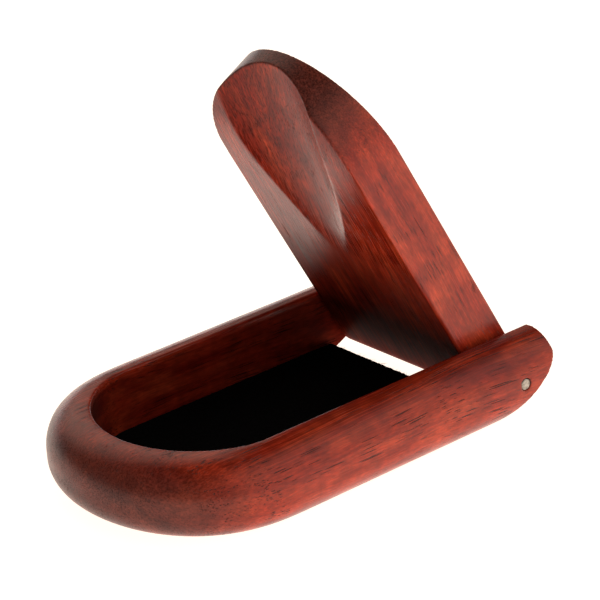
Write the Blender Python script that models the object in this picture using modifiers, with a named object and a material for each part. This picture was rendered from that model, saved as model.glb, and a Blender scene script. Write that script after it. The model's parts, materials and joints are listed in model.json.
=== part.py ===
"""Folding wooden tobacco-pipe stand: a U-shaped tray, a swinging rest, its hinge pin and a felt pad.

The tray is a block with a rounded nose and a pocket that runs out at the hinge end as a slot
between two arms. The rest is hinged on a steel pin between the arms. Folded, it fills the
pocket flush with the rim. Opened, it stands up and holds the pipe's stem in the scoop at its
tip, while the bowl sits on the felt.

Frame: +Z up, origin at the centre of the footprint on the table, +X towards the hinge,
Y across. All driving sizes are in millimetres.
"""

import math

import bmesh
import bpy
from mathutils import Matrix, Vector

MM = 0.001

# Tray
LENGTH = 100.0
HALF_WIDTH = 31.5
HEIGHT = 16.2
NOSE_LENGTH = 32.0        # from the nose tip to where the sides run straight
NOSE_POWER = 2.4          # 2 is an ellipse, more is squarer
RIM_RADIUS = 8.2          # round-over of the outer top edge
FOOT_RADIUS = 6.3         # round-over of the outer bottom edge
HEEL_LENGTH = 19.3        # sweep of the underside up to the hinge end
HEEL_HEIGHT = 12.5
HEEL_POWER = 1.42

# Pocket and slot
WALL = 9.1                # rim width at the nose
POCKET_HALF_WIDTH = 22.5
POCKET_NOSE = 19.0
POCKET_POWER = 1.75
FLOOR = 2.2               # thickness of wood under the felt
FLOOR_END = 85.2          # from the nose tip: the floor stops here, and the slot begins

# Felt
GAP = 0.3                 # between pieces that lie on each other
FELT_THICKNESS = 1.0
FELT_INSET = 0.3

# Hinge
PIN_X = 90.7              # from the nose tip
PIN_Z = 8.2
PIN_RADIUS = 1.2
PIN_CLEARANCE = 0.2
PIN_RECESS = 0.15         # of each end, below the side of the tray
PIN_SIDES = 24

# Rest
REST_LENGTH = 80.9        # from the pin to the tip
REST_THICKNESS = 11.6
REST_UNDER = 4.4          # from the pin down to the inner face, when folded
REST_SIDE_GAP = 1.2
REST_NOSE = 21.5
REST_POWER = 2.0
TIP_LIFT = 3.8            # how far the inner face curves away from flat at the tip
TIP_LIFT_LENGTH = 24.0
HEEL_BACK = 1.2           # centre of the rounded heel, behind the pin
OPEN_ANGLE = 60.8         # from folded flat to standing open

# Scoop in the inner face, at the tip: a cone that tilts into the wood
SCOOP_DEPTH = 8.1         # at the tip, below the flat of the inner face
SCOOP_LENGTH = 42.0
SCOOP_RADIUS_TIP = 23.5
SCOOP_RADIUS_END = 26.0
SCOOP_BEYOND = 12.0       # how far its cutter runs past each end
SCOOP_SIDES = 96

ROUND_OVER_STEPS = 7
NOSE_STEPS = 22           # points along each quarter of a nose curve
ARC_STEPS = 12
CUT = 4.0                 # how far a cutter stands out of what it cuts
WELD = 0.00001            # metres


# ---------------------------------------------------------------- scene helpers

def clear_scene():
    for obj in list(bpy.data.objects):
        bpy.data.objects.remove(obj, do_unlink=True)


def new_collection(name):
    collection = bpy.data.collections.new(name)
    bpy.context.scene.collection.children.link(collection)
    return collection


def new_material(name, color, roughness, metallic=0.0):
    material = bpy.data.materials.new(name)
    material.use_nodes = True
    shader = material.node_tree.nodes["Principled BSDF"]
    shader.inputs["Base Color"].default_value = (*color, 1.0)
    shader.inputs["Roughness"].default_value = roughness
    shader.inputs["Metallic"].default_value = metallic
    material.diffuse_color = (*color, 1.0)
    return material


def link_mesh(name, mesh, collection):
    obj = bpy.data.objects.new(name, mesh)
    collection.objects.link(obj)
    return obj


def as_cutter(obj):
    obj.hide_render = True
    obj.display_type = 'WIRE'
    return obj


def cut(obj, cutter, operation='DIFFERENCE'):
    modifier = obj.modifiers.new(f"{operation.title()} {cutter.name}", 'BOOLEAN')
    modifier.operation = operation
    modifier.object = cutter
    modifier.solver = 'EXACT'


def slab(name, outline, low, high, collection, upright=False):
    """A flat outline in millimetres, extruded from low to high.

    The outline lies in plan (x, y) and rises along Z, or with upright it is a side view
    (x, z) and runs along -Y.
    """
    curve = bpy.data.curves.new(name, 'CURVE')
    curve.dimensions = '2D'
    curve.fill_mode = 'BOTH'
    curve.extrude = (high - low) / 2 * MM
    spline = curve.splines.new('POLY')
    spline.points.add(len(outline) - 1)
    for point, (across, along) in zip(spline.points, outline):
        point.co = (across * MM, along * MM, 0.0, 1.0)
    spline.use_cyclic_u = True
    guide = link_mesh(name + "_outline", curve, collection)
    guide.location.z = (low + high) / 2 * MM
    if upright:
        guide.location = (0.0, -(low + high) / 2 * MM, 0.0)
        guide.rotation_euler.x = math.radians(90.0)
    bpy.context.view_layer.update()
    depsgraph = bpy.context.evaluated_depsgraph_get()
    mesh = bpy.data.meshes.new_from_object(guide.evaluated_get(depsgraph))
    mesh.name = name
    mesh.transform(guide.matrix_world)
    bpy.data.objects.remove(guide)
    work = bmesh.new()
    work.from_mesh(mesh)
    bmesh.ops.remove_doubles(work, verts=work.verts, dist=WELD)
    bmesh.ops.dissolve_limit(
        work, angle_limit=math.radians(0.1), verts=work.verts, edges=work.edges)
    bmesh.ops.recalc_face_normals(work, faces=work.faces)
    work.to_mesh(mesh)
    work.free()
    return link_mesh(name, mesh, collection)


def rod(name, radius_low, radius_high, start, end, sides, collection):
    """A closed cylinder or cone between two points in millimetres."""
    start = Vector(start) * MM
    end = Vector(end) * MM
    along = end - start
    work = bmesh.new()
    bmesh.ops.create_cone(
        work, cap_ends=True, cap_tris=False, segments=sides,
        radius1=radius_low * MM, radius2=radius_high * MM, depth=along.length)
    turn = Vector((0.0, 0.0, 1.0)).rotation_difference(along).to_matrix().to_4x4()
    work.transform(Matrix.Translation((start + end) / 2) @ turn)
    mesh = bpy.data.meshes.new(name)
    work.to_mesh(mesh)
    work.free()
    return link_mesh(name, mesh, collection)


def finish_mesh(obj, material, sharp_degrees=30.0):
    obj.data.materials.clear()
    obj.data.materials.append(material)
    obj.data.shade_smooth()
    obj.data.set_sharp_from_angle(angle=math.radians(sharp_degrees))


# ---------------------------------------------------------------- outlines

def nose_curve(half_width, length, power):
    """Points (distance from the tip, half width) from the tip to where the sides run straight."""
    points = []
    for step in range(NOSE_STEPS + 1):
        share = 1.0 - math.cos(math.pi / 2 * step / NOSE_STEPS)
        points.append((length * share, half_width * math.sqrt(1.0 - (1.0 - share) ** power)))
    return points


def mirrored(half):
    """A closed outline from one side's points, which start on the centre line."""
    return half + [(across, -side) for across, side in reversed(half[1:])]


def from_nose(half):
    """Distances from the nose tip, turned into the part's frame."""
    return [(distance - LENGTH / 2, side) for distance, side in half]


def tray_outline():
    half = nose_curve(HALF_WIDTH, NOSE_LENGTH, NOSE_POWER)
    half.append((LENGTH, HALF_WIDTH))
    return mirrored(from_nose(half))


def pocket_outline(end, inset=0.0):
    """The pocket in plan, from its nose to end, drawn in by inset."""
    half = nose_curve(POCKET_HALF_WIDTH - inset, POCKET_NOSE - inset, POCKET_POWER)
    half = [(WALL + inset + distance, side) for distance, side in half]
    half.append((end, POCKET_HALF_WIDTH - inset))
    return mirrored(from_nose(half))


def heel_outline():
    """Side view of what is taken off below the sweep of the underside at the hinge end."""
    points = []
    for step in range(ARC_STEPS + 1):
        share = step / ARC_STEPS
        rise = 1.0 - (1.0 - share ** HEEL_POWER) ** (1.0 / HEEL_POWER)
        points.append((LENGTH / 2 - HEEL_LENGTH * rise, HEEL_HEIGHT * (1.0 - share)))
    points.append((LENGTH / 2 - HEEL_LENGTH, -CUT))
    points.append((LENGTH / 2 + CUT, -CUT))
    points.append((LENGTH / 2 + CUT, HEEL_HEIGHT))
    return points


def floor_outline():
    """Plan of the block that the pocket's cutter spares, which becomes the floor."""
    start = -LENGTH / 2
    end = FLOOR_END - LENGTH / 2
    return [(start, -HALF_WIDTH), (end, -HALF_WIDTH), (end, HALF_WIDTH), (start, HALF_WIDTH)]


def rest_plan():
    """The rest in plan, folded: the pin is at x = 0 and the tip points to -X."""
    half_width = POCKET_HALF_WIDTH - REST_SIDE_GAP
    nose = nose_curve(half_width, REST_NOSE, REST_POWER)
    half = [(distance - REST_LENGTH, side) for distance, side in nose]
    half.append((REST_THICKNESS, half_width))
    return mirrored(half)


def rest_side():
    """The rest seen from the side, folded: an inner face that lifts at the tip, a half-round heel."""
    low = -REST_UNDER
    radius = REST_THICKNESS / 2
    lift_start = 1.0 + CUT / TIP_LIFT_LENGTH
    points = []
    for step in range(ARC_STEPS + 1):
        share = lift_start * (1.0 - step / ARC_STEPS)
        points.append((TIP_LIFT_LENGTH * (1.0 - share) - REST_LENGTH, low + TIP_LIFT * share ** 2))
    for step in range(2 * ARC_STEPS + 1):
        angle = math.pi * (step / (2 * ARC_STEPS) - 0.5)
        points.append((HEEL_BACK + radius * math.cos(angle), low + radius + radius * math.sin(angle)))
    return points + [(-REST_LENGTH - CUT, low + REST_THICKNESS)]


# ---------------------------------------------------------------- pieces

def round_over(obj):
    """Round the long outer edges of the tray, but not the edges of its flat hinge end."""
    mesh = obj.data
    weights = mesh.attributes.new("bevel_weight_edge", 'FLOAT', 'EDGE')
    for edge in mesh.edges:
        first, second = (mesh.vertices[index].co for index in edge.vertices)
        level = abs(first.z - second.z) < WELD
        at_end = min(first.x, second.x) > LENGTH / 2 * MM - WELD
        if level and not at_end:
            at_rim = first.z > HEIGHT / 2 * MM
            weights.data[edge.index].value = 1.0 if at_rim else FOOT_RADIUS / RIM_RADIUS
    bevel = obj.modifiers.new("Round over", 'BEVEL')
    bevel.limit_method = 'WEIGHT'
    bevel.width = RIM_RADIUS * MM
    bevel.segments = ROUND_OVER_STEPS
    bevel.use_clamp_overlap = False


def build_tray(parts, cutters, wood):
    tray = slab("tray", tray_outline(), 0.0, HEIGHT, parts)
    round_over(tray)

    pocket_plan = pocket_outline(LENGTH + CUT)
    pocket = as_cutter(slab("pocket_cutter", pocket_plan, -CUT, HEIGHT + CUT, cutters))
    floor = as_cutter(slab("floor_block", floor_outline(), -2 * CUT, FLOOR, cutters))
    cut(pocket, floor)
    cut(tray, pocket)

    reach = HALF_WIDTH + CUT
    heel = as_cutter(slab("heel_cutter", heel_outline(), -reach, reach, cutters, upright=True))
    cut(tray, heel)

    start = (PIN_X - LENGTH / 2, -reach, PIN_Z)
    end = (PIN_X - LENGTH / 2, reach, PIN_Z)
    hole = PIN_RADIUS + PIN_CLEARANCE
    bore = as_cutter(rod("tray_bore", hole, hole, start, end, PIN_SIDES, cutters))
    cut(tray, bore)
    finish_mesh(tray, wood)


def build_felt(parts, felt_material):
    low = FLOOR + GAP
    plan = pocket_outline(FLOOR_END - FELT_INSET, FELT_INSET)
    felt = slab("felt_pad", plan, low, low + FELT_THICKNESS, parts)
    finish_mesh(felt, felt_material)


def build_pin(parts, steel):
    reach = HALF_WIDTH - PIN_RECESS
    start = (PIN_X - LENGTH / 2, -reach, PIN_Z)
    end = (PIN_X - LENGTH / 2, reach, PIN_Z)
    pin = rod("hinge_pin", PIN_RADIUS, PIN_RADIUS, start, end, PIN_SIDES, parts)
    finish_mesh(pin, steel)


def build_rest(parts, cutters, wood):
    """The rest is shaped folded flat, with the pin's axis through its origin, then swung open."""
    reach = POCKET_HALF_WIDTH + CUT
    rest = slab("swing_rest", rest_plan(), -REST_UNDER, REST_THICKNESS - REST_UNDER, parts)
    profile = as_cutter(slab("rest_profile", rest_side(), -reach, reach, cutters, upright=True))
    cut(rest, profile, 'INTERSECT')

    # The scoop's lowest line runs from the inner face at its far end to SCOOP_DEPTH at the tip.
    slope = SCOOP_DEPTH / SCOOP_LENGTH
    widen = (SCOOP_RADIUS_END - SCOOP_RADIUS_TIP) / SCOOP_LENGTH
    radius_tip = SCOOP_RADIUS_TIP - widen * SCOOP_BEYOND
    radius_end = SCOOP_RADIUS_END + widen * SCOOP_BEYOND
    tip_x = -REST_LENGTH - SCOOP_BEYOND
    end_x = -REST_LENGTH + SCOOP_LENGTH + SCOOP_BEYOND
    tip = (tip_x, 0.0, -REST_UNDER + SCOOP_DEPTH + slope * SCOOP_BEYOND - radius_tip)
    end = (end_x, 0.0, -REST_UNDER - slope * SCOOP_BEYOND - radius_end)
    scoop = as_cutter(rod("scoop_cutter", radius_tip, radius_end, tip, end, SCOOP_SIDES, cutters))
    cut(rest, scoop)

    hole = PIN_RADIUS + PIN_CLEARANCE
    start = (0.0, -reach, 0.0)
    bore = as_cutter(rod("rest_bore", hole, hole, start, (0.0, reach, 0.0), PIN_SIDES, cutters))
    cut(rest, bore)
    finish_mesh(rest, wood)

    hinge = bpy.data.objects.new("hinge_axis", None)
    hinge.empty_display_type = 'SINGLE_ARROW'
    hinge.empty_display_size = 20.0 * MM
    hinge.location = Vector((PIN_X - LENGTH / 2, 0.0, PIN_Z)) * MM
    hinge.rotation_euler.y = math.radians(OPEN_ANGLE)
    parts.objects.link(hinge)
    for obj in (rest, profile, scoop, bore):
        obj.parent = hinge


def main():
    clear_scene()
    parts = new_collection("pipe_stand")
    cutters = new_collection("cutters")
    tray_wood = new_material("tray_rosewood", (0.27, 0.055, 0.025), 0.35)
    rest_wood = new_material("rest_rosewood", (0.25, 0.045, 0.022), 0.33)
    felt_material = new_material("black_felt", (0.006, 0.006, 0.007), 0.95)
    steel = new_material("pin_steel", (0.62, 0.60, 0.57), 0.32, 1.0)

    build_tray(parts, cutters, tray_wood)
    build_felt(parts, felt_material)
    build_pin(parts, steel)
    build_rest(parts, cutters, rest_wood)
    bpy.context.view_layer.update()


main()
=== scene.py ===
"""Looks of the folding pipe stand: sanded rosewood, black felt and a steel pin, on a lit white table.

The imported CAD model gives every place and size. Each piece is built again from the same
outlines, finer and with its edges sanded, and stands for its CAD node. Lengths are in
millimetres until a mesh is made; a piece's own X runs along the grain of its wood.
"""

import json
import math
import random

import bmesh
import bpy
from mathutils import Matrix, Vector


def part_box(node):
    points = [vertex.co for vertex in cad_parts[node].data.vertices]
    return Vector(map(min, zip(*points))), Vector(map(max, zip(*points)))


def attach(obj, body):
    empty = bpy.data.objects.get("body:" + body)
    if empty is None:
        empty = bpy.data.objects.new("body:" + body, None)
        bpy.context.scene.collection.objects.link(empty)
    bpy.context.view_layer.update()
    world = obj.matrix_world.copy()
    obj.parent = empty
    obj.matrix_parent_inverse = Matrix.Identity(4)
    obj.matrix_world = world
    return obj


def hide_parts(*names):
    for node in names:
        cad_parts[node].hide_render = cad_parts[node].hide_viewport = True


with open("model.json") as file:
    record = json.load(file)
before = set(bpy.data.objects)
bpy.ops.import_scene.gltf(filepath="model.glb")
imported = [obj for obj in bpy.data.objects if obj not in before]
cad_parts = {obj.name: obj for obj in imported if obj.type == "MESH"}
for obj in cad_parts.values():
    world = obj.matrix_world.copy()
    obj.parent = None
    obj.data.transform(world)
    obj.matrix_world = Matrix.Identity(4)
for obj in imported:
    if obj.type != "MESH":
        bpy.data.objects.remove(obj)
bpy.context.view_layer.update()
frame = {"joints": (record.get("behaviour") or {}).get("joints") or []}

MM = 0.001

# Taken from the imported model
TRAY_LOW, TRAY_HIGH = (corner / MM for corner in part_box("tray"))
FELT_LOW, FELT_HIGH = (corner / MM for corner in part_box("felt_pad"))
PIN_LOW, PIN_HIGH = (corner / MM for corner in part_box("hinge_pin"))
HINGE = frame["joints"][0]
PIVOT = Vector(HINGE["pos_m"]) / MM
OPEN_ANGLE = -HINGE["range_deg"][0]

# Tray
LENGTH = TRAY_HIGH.x - TRAY_LOW.x
HALF_WIDTH = TRAY_HIGH.y
HEIGHT = TRAY_HIGH.z
NOSE_LENGTH = 0.32 * LENGTH
NOSE_POWER = 2.4          # 2 is an ellipse, more is squarer
RIM_RADIUS = 8.2
FOOT_RADIUS = 6.3
HEEL_LENGTH = 19.3        # sweep of the underside up to the hinge end
HEEL_HEIGHT = 12.5
HEEL_POWER = 1.42

# Pocket and slot
FELT_INSET = 0.3          # of the CAD felt, from the pocket's walls and floor
WALL = FELT_LOW.x - FELT_INSET - TRAY_LOW.x
POCKET_HALF_WIDTH = FELT_HIGH.y + FELT_INSET
POCKET_NOSE = 19.0
POCKET_POWER = 1.75
FLOOR = FELT_LOW.z - FELT_INSET
FLOOR_END = FELT_HIGH.x + FELT_INSET

# Hinge
PIN_RADIUS = (PIN_HIGH.z - PIN_LOW.z) / 2
PIN_CLEARANCE = 0.12

# Rest
REST_LENGTH = 80.9        # from the pin to the tip
REST_THICKNESS = 11.6
REST_UNDER = 4.4          # from the pin down to the inner face, when folded
REST_HALF_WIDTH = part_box("swing_rest")[1].y / MM
REST_NOSE = 21.5
REST_POWER = 2.0
TIP_LIFT = 3.8            # how far the inner face curves away from flat at the tip
TIP_LIFT_LENGTH = 24.0
HEEL_BACK = 1.2           # centre of the rounded heel, behind the pin

# Scoop in the rest's inner face: deep at the tip, running out gently toward the hinge
SCOOP_DEPTH = 8.1
SCOOP_LENGTH = 49.0
SCOOP_RUN_OUT = 1.55      # 1 is a straight ramp, more ends more gently
SCOOP_RADIUS_TIP = 23.5
SCOOP_RADIUS_END = 26.0
SCOOP_ASIDE = 0.6         # off the centre line, because it is cut by hand

# Felt sheet
SHEET_INSET = 0.12        # from the pocket's walls
SHEET_LIFT = 0.05         # off the pocket's floor
NAP = 0.16                # how much lower its top lies in places
AT_END = 0.3              # what is this near to the cut end is frayed
FRAY_IN = 0.35
FRAY_OUT = 0.15
FIBRES = 170              # loose ones at the cut end
FIBRE_RADIUS = 0.035
FIBRE_STEPS = 3

# Camera, fitted to the outlines in the photo
CAMERA_ANGLES = (40.05, 23.81, -3.58)     # azimuth, elevation and roll
CAMERA_TARGET = (6.27, -1.82, 30.06)
CAMERA_DISTANCE = 636.8
CAMERA_LENS = 189.1
CAMERA_SHIFT = 0.002

# Radiance of the lights, where 1 is shown as white
FLOOR_GLOW = (1.22, 1.06, 0.93)
BACKDROP = (0.16, 0.15, 0.14)
FRONT_RIGHT = (1.04, 0.99, 0.92)
BEHIND_LEFT = (1.22, 1.00, 0.84)
HORIZON = (1.40, 1.34, 1.32)      # low behind the stand

# Wood
RING_WIDTH = 3.6

# Fineness
NOSE_STEPS = 72
ARC_STEPS = 40
ROUND_OVER_STEPS = 20
SCOOP_SIDES = 256
SCOOP_STEPS = 30
SCOOP_PAST = 6            # steps that its cutter runs on past each end
BORE_SIDES = 48
TRAY_VOXEL = 0.24
REST_VOXEL = 0.20
FELT_VOXEL = 0.45
CUT = 4.0                 # how far a cutter stands out of what it cuts


# ---------------------------------------------------------------- mesh helpers

def link_mesh(name, mesh):
    obj = bpy.data.objects.new(name, mesh)
    bpy.context.scene.collection.objects.link(obj)
    return obj


def mesh_from(name, work):
    mesh = bpy.data.meshes.new(name)
    work.to_mesh(mesh)
    work.free()
    return link_mesh(name, mesh)


def prism(name, outline, low, high, upright=False):
    """A flat outline carried from low to high: a plan along Z, or a side view along Y."""
    work = bmesh.new()
    if upright:
        corners = [work.verts.new(Vector((x, low, z)) * MM) for x, z in outline]
        rise = Vector((0.0, high - low, 0.0)) * MM
    else:
        corners = [work.verts.new(Vector((x, y, low)) * MM) for x, y in outline]
        rise = Vector((0.0, 0.0, high - low)) * MM
    grown = bmesh.ops.extrude_face_region(work, geom=[work.faces.new(corners)])
    top = [part for part in grown["geom"] if isinstance(part, bmesh.types.BMVert)]
    bmesh.ops.translate(work, verts=top, vec=rise)
    bmesh.ops.recalc_face_normals(work, faces=work.faces)
    return mesh_from(name, work)


def rod(name, radius_low, radius_high, start, end, sides):
    """A closed cylinder or cone between two points."""
    start = Vector(start) * MM
    end = Vector(end) * MM
    along = end - start
    work = bmesh.new()
    bmesh.ops.create_cone(
        work, cap_ends=True, segments=sides,
        radius1=radius_low * MM, radius2=radius_high * MM, depth=along.length)
    turn = Vector((0.0, 0.0, 1.0)).rotation_difference(along).to_matrix().to_4x4()
    work.transform(Matrix.Translation((start + end) / 2) @ turn)
    return mesh_from(name, work)


def bake_modifiers(obj):
    """Applies the modifiers of obj to its mesh."""
    depsgraph = bpy.context.evaluated_depsgraph_get()
    made = bpy.data.meshes.new_from_object(obj.evaluated_get(depsgraph))
    obj.modifiers.clear()
    obj.data = made


def cut(obj, cutter, operation='DIFFERENCE'):
    modifier = obj.modifiers.new("Cut", 'BOOLEAN')
    modifier.operation = operation
    modifier.object = cutter
    modifier.solver = 'EXACT'
    bake_modifiers(obj)
    bpy.data.objects.remove(cutter)


def sand(obj, voxel, rounds, faces, worn, worn_rounds):
    """Remeshes obj evenly, smooths it so that its edges look sanded, and thins it to about faces.

    worn gives, for a point in millimetres, how much of worn_rounds more it is sanded.
    """
    remesh = obj.modifiers.new("Remesh", 'REMESH')
    remesh.mode = 'VOXEL'
    remesh.voxel_size = voxel * MM
    bake_modifiers(obj)
    smooth = obj.modifiers.new("Sand", 'SMOOTH')
    smooth.iterations = rounds
    smooth.factor = 0.5
    group = obj.vertex_groups.new(name="worn")
    for vertex in obj.data.vertices:
        share = worn(vertex.co / MM)
        if share > 0.0:
            group.add([vertex.index], share, 'REPLACE')
    wear = obj.modifiers.new("Wear", 'SMOOTH')
    wear.iterations = worn_rounds
    wear.factor = 0.5
    wear.vertex_group = group.name
    bake_modifiers(obj)
    thin = obj.modifiers.new("Thin", 'DECIMATE')
    thin.ratio = min(1.0, faces / (2 * len(obj.data.polygons)))
    bake_modifiers(obj)
    obj.data.shade_smooth()


def limit(value):
    return max(0.0, min(1.0, value))


# ---------------------------------------------------------------- outlines

def nose_curve(half_width, length, power):
    """Points (distance from the tip, half width) from the tip to where the sides run straight."""
    points = []
    for step in range(NOSE_STEPS + 1):
        share = 1.0 - math.cos(math.pi / 2 * step / NOSE_STEPS)
        points.append((length * share, half_width * math.sqrt(1.0 - (1.0 - share) ** power)))
    return points


def mirrored(half):
    """A closed outline from one side's points, which start on the centre line."""
    return half + [(across, -side) for across, side in reversed(half[1:])]


def tray_outline():
    nose = nose_curve(HALF_WIDTH, NOSE_LENGTH, NOSE_POWER)
    half = [(TRAY_LOW.x + distance, side) for distance, side in nose]
    half.append((TRAY_HIGH.x, HALF_WIDTH))
    return mirrored(half)


def pocket_outline(end, inset=0.0):
    """The pocket in plan, from its nose to end, drawn in by inset."""
    nose = nose_curve(POCKET_HALF_WIDTH - inset, POCKET_NOSE - inset, POCKET_POWER)
    half = [(TRAY_LOW.x + WALL + inset + distance, side) for distance, side in nose]
    half.append((end, POCKET_HALF_WIDTH - inset))
    return mirrored(half)


def heel_outline():
    """Side view of what is taken off below the sweep of the underside at the hinge end."""
    end = TRAY_HIGH.x
    points = []
    for step in range(ARC_STEPS + 1):
        share = step / ARC_STEPS
        rise = 1.0 - (1.0 - share ** HEEL_POWER) ** (1.0 / HEEL_POWER)
        points.append((end - HEEL_LENGTH * rise, HEEL_HEIGHT * (1.0 - share)))
    return points + [(end - HEEL_LENGTH, -CUT), (end + CUT, -CUT), (end + CUT, HEEL_HEIGHT)]


def rest_plan():
    """The rest in plan, folded: the pin is at x = 0 and the tip points to -X."""
    nose = nose_curve(REST_HALF_WIDTH, REST_NOSE, REST_POWER)
    half = [(distance - REST_LENGTH, side) for distance, side in nose]
    half.append((REST_THICKNESS, REST_HALF_WIDTH))
    return mirrored(half)


def rest_side():
    """The rest seen from the side, folded: an inner face that lifts at the tip, a round heel."""
    low = -REST_UNDER
    radius = REST_THICKNESS / 2
    lift_start = 1.0 + CUT / TIP_LIFT_LENGTH
    points = []
    for step in range(ARC_STEPS + 1):
        share = lift_start * (1.0 - step / ARC_STEPS)
        points.append((TIP_LIFT_LENGTH * (1.0 - share) - REST_LENGTH, low + TIP_LIFT * share ** 2))
    for step in range(2 * ARC_STEPS + 1):
        angle = math.pi * (step / (2 * ARC_STEPS) - 0.5)
        points.append((HEEL_BACK + radius * math.cos(angle), low + radius + radius * math.sin(angle)))
    return points + [(-REST_LENGTH - CUT, low + REST_THICKNESS)]


# ---------------------------------------------------------------- materials

class Nodes:
    """Short calls for the nodes of a material or world. Positions in a material are millimetres."""

    def __init__(self, owner):
        owner.use_nodes = True
        self.owner = owner
        self.tree = owner.node_tree

    def feed(self, socket, value):
        if isinstance(value, bpy.types.NodeSocket):
            self.tree.links.new(value, socket)
        elif value is not None:
            socket.default_value = value

    def place(self):
        """The point in the piece's own frame."""
        place = self.tree.nodes.new('ShaderNodeTexCoord')
        return self.vector('SCALE', place.outputs["Object"], scale=1.0 / MM)

    def facing(self):
        """X, Y and Z of the direction that the surface faces, in the piece's own frame."""
        return self.split(self.tree.nodes.new('ShaderNodeTexCoord').outputs["Normal"])

    def vector(self, operation, first, second=None, scale=None):
        node = self.tree.nodes.new('ShaderNodeVectorMath')
        node.operation = operation
        self.feed(node.inputs[0], first)
        self.feed(node.inputs[1], second)
        if scale is not None:
            self.feed(node.inputs["Scale"], scale)
        scalar = operation in ('LENGTH', 'DOT_PRODUCT')
        return node.outputs["Value" if scalar else "Vector"]

    def math(self, operation, first, second=None, third=None):
        node = self.tree.nodes.new('ShaderNodeMath')
        node.operation = operation
        self.feed(node.inputs[0], first)
        self.feed(node.inputs[1], second)
        self.feed(node.inputs[2], third)
        return node.outputs[0]

    def noise(self, place, stretch, detail=2.0, rough=0.5, color=False):
        """Noise whose features are about stretch millimetres long on each axis."""
        node = self.tree.nodes.new('ShaderNodeTexNoise')
        self.feed(node.inputs["Vector"], self.vector('DIVIDE', place, stretch))
        node.inputs["Scale"].default_value = 1.0
        node.inputs["Detail"].default_value = detail
        node.inputs["Roughness"].default_value = rough
        return node.outputs["Color" if color else "Fac"]

    def cells(self, place, stretch):
        """Cells of about stretch millimetres on each axis."""
        node = self.tree.nodes.new('ShaderNodeTexVoronoi')
        self.feed(node.inputs["Vector"], self.vector('DIVIDE', place, stretch))
        node.inputs["Scale"].default_value = 1.0
        return node

    def ramp(self, value, low, high, to_low=0.0, to_high=1.0):
        """Runs smoothly from to_low to to_high as value goes from low to high."""
        node = self.tree.nodes.new('ShaderNodeMapRange')
        node.interpolation_type = 'SMOOTHSTEP'
        self.feed(node.inputs["Value"], value)
        for label, number in (
                ("From Min", low), ("From Max", high), ("To Min", to_low), ("To Max", to_high)):
            self.feed(node.inputs[label], number)
        return node.outputs[0]

    def mix(self, share, first, second):
        node = self.tree.nodes.new('ShaderNodeMix')
        node.data_type = 'RGBA'
        node.clamp_factor = True
        self.feed(node.inputs[0], share)
        self.feed(node.inputs[6], color(first))
        self.feed(node.inputs[7], color(second))
        return node.outputs[2]

    def split(self, value):
        node = self.tree.nodes.new('ShaderNodeSeparateXYZ')
        self.feed(node.inputs[0], value)
        return node.outputs

    def combine(self, x, y, z):
        node = self.tree.nodes.new('ShaderNodeCombineXYZ')
        for socket, value in zip(node.inputs, (x, y, z)):
            self.feed(socket, value)
        return node.outputs[0]

    def bump(self, height, distance, strength):
        node = self.tree.nodes.new('ShaderNodeBump')
        node.inputs["Strength"].default_value = strength
        node.inputs["Distance"].default_value = distance * MM
        self.feed(node.inputs["Height"], height)
        return node.outputs[0]

    def set(self, shader="Principled BSDF", **values):
        """Shader inputs, by name with _ for a space."""
        for label, value in values.items():
            socket = self.tree.nodes[shader].inputs[label.replace("_", " ")]
            self.feed(socket, color(value) if socket.type == 'RGBA' else value)


def color(value):
    return (*value, 1.0) if isinstance(value, tuple) and len(value) == 3 else value


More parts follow.
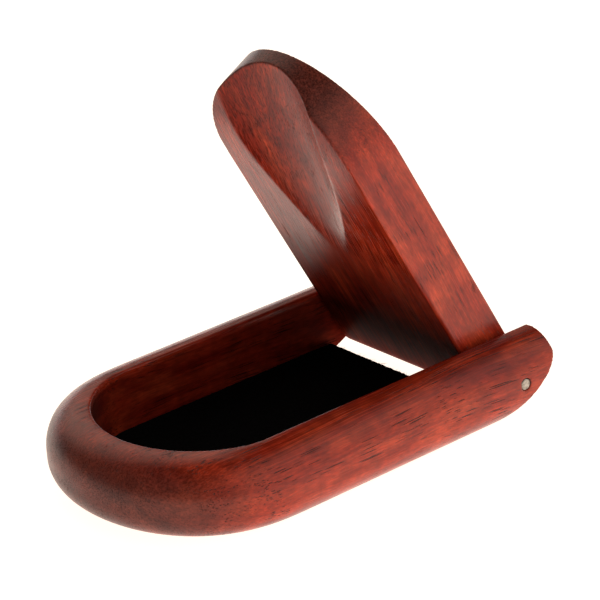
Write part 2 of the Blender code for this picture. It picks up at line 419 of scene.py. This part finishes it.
def rosewood(name, shift, heart, figure, lines, pores, unpolished_and_shaded):
    """Oiled red rosewood: rings about the tree's heart, fibres, open pores and a satin gloss.

    shift moves the piece within the log, so that no two pieces have the same figure.
    heart is (y, z), where the tree's centre line runs, beside the piece.
    figure and lines are the contrasts of the rings and of the fine lines along the grain.
    pores is how wide the open pores are, of the cells that they lie in.
    unpolished_and_shaded(wood, place) gives, from 0 to 1, how far the finish is missing and how far
    painted shade darkens the colour.
    """
    wood = Nodes(bpy.data.materials.new(name))
    own = wood.place()
    place = wood.vector('ADD', own, shift)

    # The grain wanders a little as it runs along X.
    wander = wood.noise(place, (70.0, 26.0, 26.0), detail=1.0, color=True)
    wander = wood.vector('SUBTRACT', wander, (0.5, 0.5, 0.5))
    wander = wood.vector('MULTIPLY', wander, (0.0, 9.0, 9.0))
    grain = wood.vector('ADD', place, wander)
    x, y, z = wood.split(grain)

    # Rings: irregular bands by the distance from the heart.
    across = wood.math('SUBTRACT', y, heart[0])
    up = wood.math('SUBTRACT', z, heart[1])
    radius = wood.vector('LENGTH', wood.combine(0.0, across, up))
    ring_place = wood.combine(wood.math('MULTIPLY', x, 0.02), radius, 0.0)
    rings = wood.noise(ring_place, (1.0, RING_WIDTH, 1.0), detail=3.0, rough=0.55)
    rings = wood.ramp(rings, 0.30, 0.70, 0.5 - 0.5 * figure, 0.5 + 0.5 * figure)

    fibre = wood.noise(grain, (24.0, 0.6, 0.6), detail=3.0, rough=0.55)
    streak = wood.noise(grain, (17.0, 0.30, 0.30), detail=2.0)
    mottle = wood.noise(grain, (14.0, 4.0, 4.0), detail=2.0)
    flame = wood.noise(grain, (3.0, 5.0, 5.0), detail=2.0)
    fleck_and_glint = wood.noise(grain, (1.9, 0.42, 0.42), detail=2.0)

    base = wood.mix(rings, (0.19, 0.0075, 0.0035), (0.45, 0.039, 0.0125))
    base = wood.mix(wood.ramp(mottle, 0.40, 0.80, 0.0, 0.65), base, (0.60, 0.074, 0.025))

    # The lines are plainest on the faces that look up and down, the flecks on the sides.
    facing = wood.facing()
    sideways = wood.ramp(wood.math('ABSOLUTE', facing[1]), 0.5, 0.9)
    lines = wood.math('MULTIPLY_ADD', sideways, -0.65 * lines, lines)
    dark = wood.math('MULTIPLY_ADD', lines, -0.32, 1.0)
    pale = wood.math('MULTIPLY_ADD', lines, 0.18, 1.0)
    shade = wood.ramp(fibre, 0.30, 0.70, dark, pale)
    shade = wood.math('MULTIPLY', shade, wood.ramp(streak, 0.36, 0.64, dark, pale))
    shade = wood.math('MULTIPLY', shade, wood.ramp(flame, 0.3, 0.7, 0.84, 1.12))
    # The lighter flecks along the grain on the sides are partly grain figure and partly painted
    # glints, standing in for the sparkle of the satin gloss.
    fleck_and_glint = wood.math('MULTIPLY', wood.ramp(fleck_and_glint, 0.35, 0.75, -0.13, 0.24), sideways)
    shade = wood.math('MULTIPLY', shade, wood.math('ADD', fleck_and_glint, 1.0))

    # Pores: short dark vessels along the grain, thicker in some bands; dots on the end grain.
    cells = wood.cells(grain, (12.0, 0.26, 0.26))
    crowd = wood.noise(grain, (36.0, 2.4, 2.4), detail=2.0)
    chance = wood.split(cells.outputs["Color"])[0]
    reach = wood.math('MULTIPLY', wood.ramp(crowd, 0.38, 0.58, 0.35 * pores, pores), chance)
    pore = wood.math('DIVIDE', cells.outputs["Distance"], wood.math('ADD', reach, 0.001))
    pore = wood.ramp(pore, 0.70, 1.0, 1.0, 0.0)

    # End grain drinks the oil: it is darker and less glossy. Its browner, greyer tone is a painted
    # haze of reflected light.
    end = wood.ramp(wood.math('ABSOLUTE', facing[0]), 0.15, 0.85)
    shade = wood.math('MULTIPLY', shade, wood.math('MULTIPLY_ADD', end, -0.54, 1.0))

    # Wood without polish is duller; the same mask darkens the colour as painted shade, where the
    # hollows lie in shade.
    raw_and_shaded = unpolished_and_shaded(wood, own)
    shade = wood.math('MULTIPLY', shade, wood.math('MULTIPLY_ADD', raw_and_shaded, -0.44, 1.0))

    # Painted haze: a grey-brown mixed into the end grain stands in for dim light reflected from it.
    painted_haze = wood.math('MULTIPLY', wood.math('MULTIPLY', end, end), 0.38)
    base = wood.mix(painted_haze, base, (0.34, 0.14, 0.11))
    tone = wood.vector('SCALE', base, scale=shade)
    filled = wood.math('MULTIPLY', pore, wood.math('MULTIPLY_ADD', end, -0.20, 0.84))
    tone = wood.mix(filled, tone, (0.016, 0.003, 0.002))

    rough = wood.ramp(streak, 0.3, 0.7, 0.17, 0.28)
    rough = wood.math('ADD', rough, wood.math('MULTIPLY', pore, 0.35))
    rough = wood.math('ADD', rough, wood.math('MULTIPLY', end, 0.09))
    rough = wood.math('ADD', rough, wood.math('MULTIPLY', raw_and_shaded, 0.25))
    mirror = wood.math('MULTIPLY_ADD', raw_and_shaded, -0.48, 0.5)
    mirror = wood.math('MULTIPLY', mirror, wood.math('MULTIPLY_ADD', end, -0.25, 1.0))
    height = wood.math('SUBTRACT', wood.math('MULTIPLY', streak, 0.5), pore)
    wood.set(
        Base_Color=tone, Roughness=rough, IOR=1.40, Specular_IOR_Level=mirror,
        Normal=wood.bump(height, 0.06, 0.8))
    return wood.owner


def inside_pocket(wood, place):
    """1 on the walls of the pocket and slot, which nobody polishes and whose colour is darkened as
    painted shade, and 0 outside and on the rim.
    """
    x, y, z = wood.split(place)
    start = TRAY_LOW.x + WALL + POCKET_NOSE
    nose = wood.math('MULTIPLY_ADD', x, -1.0 / POCKET_NOSE, start / POCKET_NOSE)
    nose = wood.math('POWER', wood.math('MAXIMUM', nose, 0.0), POCKET_POWER)
    side = wood.math('DIVIDE', y, POCKET_HALF_WIDTH)
    side = wood.math('MULTIPLY', side, side)
    inside = wood.ramp(wood.math('ADD', nose, side), 1.02, 1.06, 1.0, 0.0)
    below = wood.ramp(z, HEIGHT - 1.8, HEIGHT - 0.8, 1.0, 0.0)
    return wood.math('MULTIPLY', inside, below)


def toward_hinge(wood, place):
    """Grows to 1 on the inner face, where it goes down between the arms; in part in the scoop. There
    the wood is duller, and its colour is darkened as painted shade.
    """
    x, _, z = wood.split(place)
    inner = wood.ramp(z, 0.3 - REST_UNDER, 1.0 - REST_UNDER, 1.0, 0.0)
    inner = wood.math('MULTIPLY', inner, wood.ramp(x, -46.0, -18.0))
    scoop = wood.ramp(z, 0.1 - REST_UNDER, 1.2 - REST_UNDER, 0.0, 0.36)
    scoop = wood.math('MULTIPLY', scoop, wood.ramp(wood.facing()[2], -0.75, -0.55, 1.0, 0.0))
    return wood.math('MAXIMUM', inner, scoop)


def felt_material():
    """Short black felt: matted fibres, with a very faint sheen."""
    felt = Nodes(bpy.data.materials.new("black_felt"))
    place = felt.place()
    tuft = felt.noise(place, (0.5, 0.5, 0.5), detail=3.0, rough=0.7)
    strand = felt.noise(place, (1.6, 0.16, 0.3), detail=2.0)
    tone = felt.mix(felt.ramp(tuft, 0.3, 0.75), (0.0004, 0.0004, 0.0005), (0.0018, 0.0018, 0.0019))
    height = felt.math('ADD', tuft, felt.math('MULTIPLY', strand, 0.5))
    felt.set(
        Base_Color=tone, Roughness=1.0, Specular_IOR_Level=0.01,
        Normal=felt.bump(height, 0.25, 0.9), Sheen_Weight=0.01, Sheen_Roughness=0.6)
    return felt.owner


def steel_material():
    """Cut and filed steel: fine scratches across the ends, dull with handling."""
    steel = Nodes(bpy.data.materials.new("pin_steel"))
    place = steel.place()
    scratch = steel.noise(place, (1.2, 0.5, 0.04), detail=2.0)
    grime = steel.noise(place, (0.7, 0.7, 0.7), detail=2.0)
    tone = steel.mix(steel.ramp(grime, 0.35, 0.7), (0.52, 0.48, 0.42), (0.30, 0.27, 0.23))
    steel.set(
        Base_Color=tone, Metallic=1.0, Roughness=steel.ramp(scratch, 0.3, 0.7, 0.48, 0.62),
        Normal=steel.bump(scratch, 0.01, 0.5))
    return steel.owner


# ---------------------------------------------------------------- pieces

def dress(piece, material, body, node):
    """Gives a piece its material, its body and the CAD node that it stands for."""
    piece.data.materials.clear()
    piece.data.materials.append(material)
    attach(piece, body)
    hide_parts(node)


def round_over(obj):
    """Rounds the long outer edges of the tray, but not the edges of its flat hinge end."""
    mesh = obj.data
    weights = mesh.attributes.new("bevel_weight_edge", 'FLOAT', 'EDGE')
    near = 0.01 * MM
    for edge in mesh.edges:
        first, second = (mesh.vertices[index].co for index in edge.vertices)
        level = abs(first.z - second.z) < near
        at_end = min(first.x, second.x) > TRAY_HIGH.x * MM - near
        if level and not at_end:
            at_rim = first.z > HEIGHT / 2 * MM
            weights.data[edge.index].value = 1.0 if at_rim else FOOT_RADIUS / RIM_RADIUS
    bevel = obj.modifiers.new("Round over", 'BEVEL')
    bevel.limit_method = 'WEIGHT'
    bevel.width = RIM_RADIUS * MM
    bevel.segments = ROUND_OVER_STEPS
    bevel.use_clamp_overlap = False
    bake_modifiers(obj)


def make_tray():
    tray = prism("tray_body", tray_outline(), 0.0, HEIGHT)
    round_over(tray)
    end = TRAY_HIGH.x + CUT
    pocket = prism("pocket", pocket_outline(end), FLOOR, HEIGHT + CUT)
    slot = prism("slot", [
        (FLOOR_END, -POCKET_HALF_WIDTH), (end, -POCKET_HALF_WIDTH),
        (end, POCKET_HALF_WIDTH), (FLOOR_END, POCKET_HALF_WIDTH)], -CUT, HEIGHT + CUT)
    reach = HALF_WIDTH + CUT
    hole = PIN_RADIUS + PIN_CLEARANCE
    cut(tray, pocket)
    cut(tray, slot)
    cut(tray, prism("heel", heel_outline(), -reach, reach, upright=True))
    start, stop = (PIVOT.x, -reach, PIVOT.z), (PIVOT.x, reach, PIVOT.z)
    cut(tray, rod("bore", hole, hole, start, stop, BORE_SIDES))

    def worn(point):
        """How much the inner edge of the rim is worn: along the pocket's outline, at the top."""
        nose = limit((TRAY_LOW.x + WALL + POCKET_NOSE - point.x) / POCKET_NOSE)
        off = abs(nose ** POCKET_POWER + (point.y / POCKET_HALF_WIDTH) ** 2 - 1.0)
        return limit((point.z - HEIGHT) / 0.6 + 2.0) * limit(2.0 - 12.0 * off)

    sand(tray, voxel=TRAY_VOXEL, rounds=5, faces=190000, worn=worn, worn_rounds=14)
    wood = rosewood(
        "tray_rosewood", shift=(0.0, 0.0, 0.0), heart=(14.0, -58.0),
        figure=0.85, lines=0.8, pores=0.50, unpolished_and_shaded=inside_pocket)
    dress(tray, wood, "stand", "tray")


def scoop_cutter():
    """Circles along the rest whose lowest points follow the scoop's floor."""
    work = bmesh.new()
    rings = []
    for step in range(-SCOOP_PAST, SCOOP_STEPS + SCOOP_PAST + 1):
        share = step / SCOOP_STEPS
        radius = SCOOP_RADIUS_TIP + (SCOOP_RADIUS_END - SCOOP_RADIUS_TIP) * share
        left = 1.0 - share
        depth = SCOOP_DEPTH * math.copysign(abs(left) ** SCOOP_RUN_OUT, left)
        along = SCOOP_LENGTH * share - REST_LENGTH
        middle = Vector((along, SCOOP_ASIDE, depth - REST_UNDER - radius))
        ring = []
        for side in range(SCOOP_SIDES):
            angle = 2 * math.pi * side / SCOOP_SIDES
            reach = Vector((0.0, radius * math.sin(angle), radius * math.cos(angle)))
            ring.append(work.verts.new((middle + reach) * MM))
        rings.append(ring)
    for first, second in zip(rings, rings[1:]):
        for side in range(SCOOP_SIDES):
            after = (side + 1) % SCOOP_SIDES
            work.faces.new((first[side], first[after], second[after], second[side]))
    work.faces.new(rings[0])
    work.faces.new(rings[-1])
    bmesh.ops.recalc_face_normals(work, faces=work.faces)
    return mesh_from("scoop", work)


def make_rest():
    """The rest is shaped folded flat, with the pin's axis through its origin, then swung open."""
    rest = prism("rest_board", rest_plan(), -REST_UNDER, REST_THICKNESS - REST_UNDER)
    reach = REST_HALF_WIDTH + CUT
    cut(rest, prism("profile", rest_side(), -reach, reach, upright=True), 'INTERSECT')

    cut(rest, scoop_cutter())

    hole = PIN_RADIUS + PIN_CLEARANCE
    cut(rest, rod("bore", hole, hole, (0.0, -reach, 0.0), (0.0, reach, 0.0), BORE_SIDES))

    def worn(point):
        """How much the inner face is worn: at the tip beside the scoop, and along its edge."""
        along = point.x + REST_LENGTH
        inner = limit(2.0 - 2.6 * (point.z + REST_UNDER) / REST_THICKNESS)
        horns = 0.08 * limit(1.6 - 1.8 * along / REST_NOSE)
        ridge = limit((SCOOP_LENGTH + 4.0 - along) / 4.0) * limit((17.5 - abs(point.y)) / 1.5)
        ridge *= 0.07 + 0.55 * limit((along - 0.80 * SCOOP_LENGTH) / (0.15 * SCOOP_LENGTH))
        return inner * max(horns, ridge)

    sand(rest, voxel=REST_VOXEL, rounds=6, faces=170000, worn=worn, worn_rounds=260)
    turn = Matrix.Rotation(math.radians(OPEN_ANGLE), 4, 'Y')
    rest.matrix_world = Matrix.Translation(PIVOT * MM) @ turn
    wood = rosewood(
        "rest_rosewood", shift=(210.0, 35.0, 20.0), heart=(48.0, -40.0),
        figure=0.55, lines=1.15, pores=0.36, unpolished_and_shaded=toward_hinge)
    dress(rest, wood, "rest", "swing_rest")


def make_pin():
    """A cut rod with flat filed ends, flush with the arms."""
    reach = PIN_HIGH.y
    dome, chamfer = 0.04, 0.10
    profile = [
        (0.0, reach), (PIN_RADIUS * 0.55, reach - dome * 0.25), (PIN_RADIUS - chamfer, reach - dome),
        (PIN_RADIUS, reach - dome - chamfer)]
    profile += [(radius, -along) for radius, along in reversed(profile)]
    work = bmesh.new()
    spots = [work.verts.new(Vector((radius, along, 0.0)) * MM) for radius, along in profile]
    for first, second in zip(spots, spots[1:]):
        work.edges.new((first, second))
    bmesh.ops.spin(
        work, geom=work.verts[:] + work.edges[:], axis=(0.0, 1.0, 0.0), cent=(0.0, 0.0, 0.0),
        angle=2 * math.pi, steps=BORE_SIDES)
    bmesh.ops.remove_doubles(work, verts=work.verts, dist=0.001 * MM)
    bmesh.ops.recalc_face_normals(work, faces=work.faces)
    pin = mesh_from("steel_pin", work)
    pin.data.shade_smooth()
    pin.data.set_sharp_from_angle(angle=math.radians(35.0))
    pin.location = PIVOT * MM
    dress(pin, steel_material(), "stand", "hinge_pin")


def make_felt():
    """The felt sheet, with an uneven nap and an end that has frayed where it was cut."""
    end = FELT_HIGH.x
    low, high = FLOOR + SHEET_LIFT, FELT_HIGH.z
    outline = pocket_outline(end, SHEET_INSET)
    felt = prism("felt_sheet", outline, low, high)
    remesh = felt.modifiers.new("Remesh", 'REMESH')
    remesh.mode = 'VOXEL'
    remesh.voxel_size = FELT_VOXEL * MM
    bake_modifiers(felt)
    rng = random.Random(4)
    for vertex in felt.data.vertices:
        x, y, z = vertex.co / MM
        if z > (low + high) / 2:
            z -= NAP * rng.random()
        if x > end - AT_END:
            x += rng.uniform(-FRAY_IN, FRAY_OUT)
        vertex.co = Vector((x, y, z)) * MM
    smooth = felt.modifiers.new("Mat", 'SMOOTH')
    smooth.iterations = 1
    smooth.factor = 0.4
    bake_modifiers(felt)
    felt.data.shade_smooth()
    material = felt_material()
    dress(felt, material, "stand", "felt_pad")
    fray = loose_fibres(rng, low, high, material)

    edges = zip(outline, outline[1:] + outline[:1])
    area = abs(sum(ax * by - bx * ay for (ax, ay), (bx, by) in edges)) / 2


def loose_fibres(rng, low, high, material):
    """Short fibres that stand out of the felt's cut end, between its heights low and high."""
    end = FELT_HIGH.x
    work = bmesh.new()
    for _ in range(FIBRES):
        side = rng.uniform(-1.0, 1.0) * (POCKET_HALF_WIDTH - 0.6)
        foot = Vector((end - FRAY_IN, side, rng.uniform(low + 0.1, high)))
        lean = Vector((1.0, rng.gauss(0.0, 0.8), rng.gauss(0.1, 0.5))).normalized()
        length = rng.uniform(0.35, 1.0)
        bend = Vector((0.0, rng.gauss(0.0, 0.5), rng.gauss(-0.1, 0.3)))
        rings = []
        for step in range(FIBRE_STEPS + 1):
            share = step / FIBRE_STEPS
            spot = foot + lean * length * share + bend * length * share * share * 0.6
            spot.z = min(max(spot.z, low), high)
            thick = FIBRE_RADIUS * (1.0 - 0.7 * share)
            corners = ((0.0, thick), (thick * 0.87, -thick * 0.5), (-thick * 0.87, -thick * 0.5))
            rings.append([work.verts.new((spot + Vector((0.0, dy, dz))) * MM) for dy, dz in corners])
        for near, far in zip(rings, rings[1:]):
            for corner in range(3):
                after = (corner + 1) % 3
                work.faces.new((near[corner], near[after], far[after], far[corner]))
        work.faces.new(reversed(rings[0]))
        work.faces.new(rings[-1])
    bmesh.ops.recalc_face_normals(work, faces=work.faces)
    fray = mesh_from("felt_fibres", work)
    fray.data.materials.append(material)
    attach(fray, "stand")
    return fray


# ---------------------------------------------------------------- studio

def make_camera():
    azimuth, elevation, roll = (math.radians(angle) for angle in CAMERA_ANGLES)
    ahead = Vector((
        math.sin(azimuth) * math.cos(elevation),
        math.cos(azimuth) * math.cos(elevation),
        -math.sin(elevation)))
    level = Vector((math.cos(azimuth), -math.sin(azimuth), 0.0))
    above = level.cross(ahead)
    right = level * math.cos(roll) + above * math.sin(roll)
    up = above * math.cos(roll) - level * math.sin(roll)
    turn = Matrix((right, up, -ahead)).transposed().to_4x4()
    lens = bpy.data.cameras.new("camera")
    lens.lens = CAMERA_LENS
    lens.shift_x = CAMERA_SHIFT
    lens.clip_start = 0.01
    camera = bpy.data.objects.new("camera", lens)
    bpy.context.scene.collection.objects.link(camera)
    target = Vector(CAMERA_TARGET) * MM
    camera.matrix_world = Matrix.Translation(target - ahead * CAMERA_DISTANCE * MM) @ turn
    bpy.context.scene.camera = camera


def glow(sky, toward, axis, edge, full, light):
    """A soft round light in the sky about axis: none beyond edge degrees, full within full."""
    close = sky.vector('DOT_PRODUCT', toward, Vector(axis).normalized())
    low, high = (math.cos(math.radians(angle)) for angle in (edge, full))
    return sky.vector('SCALE', light, scale=sky.ramp(close, low, high))


def make_studio():
    """A glowing white table and a sky of soft lights: nothing in it has a hard edge."""
    bpy.ops.mesh.primitive_plane_add(size=6.0, location=(0.0, 0.0, -0.01 * MM))
    floor = bpy.context.object
    floor.name = "floor"
    paint = Nodes(bpy.data.materials.new("floor_white"))
    paint.set(
        Base_Color=(0.50, 0.49, 0.48), Roughness=0.6,
        Emission_Color=FLOOR_GLOW, Emission_Strength=1.0)
    floor.data.materials.append(paint.owner)

    sky = Nodes(bpy.data.worlds.new("studio"))
    toward = sky.tree.nodes.new('ShaderNodeTexCoord').outputs["Generated"]
    height = sky.split(toward)[2]
    light = sky.vector('SCALE', BACKDROP, scale=sky.ramp(height, 0.0, 0.20, 1.0, 0.07))
    front = glow(sky, toward, axis=(0.52, -0.81, 0.27), edge=72.0, full=15.0, light=FRONT_RIGHT)
    behind = glow(sky, toward, axis=(0.17, 0.73, 0.66), edge=38.0, full=8.0, light=BEHIND_LEFT)
    far = glow(sky, toward, axis=(0.64, 0.77, 0.0), edge=60.0, full=20.0, light=HORIZON)
    far = sky.vector('SCALE', far, scale=sky.ramp(height, 0.06, 0.20, 1.0, 0.0))
    for added in (front, behind, far):
        light = sky.vector('ADD', light, added)
    sky.set("Background", Color=light, Strength=1.0)
    bpy.context.scene.world = sky.owner
    bpy.context.scene.view_settings.view_transform = 'Standard'


make_camera()
make_studio()
make_tray()
make_rest()
make_pin()
make_felt()
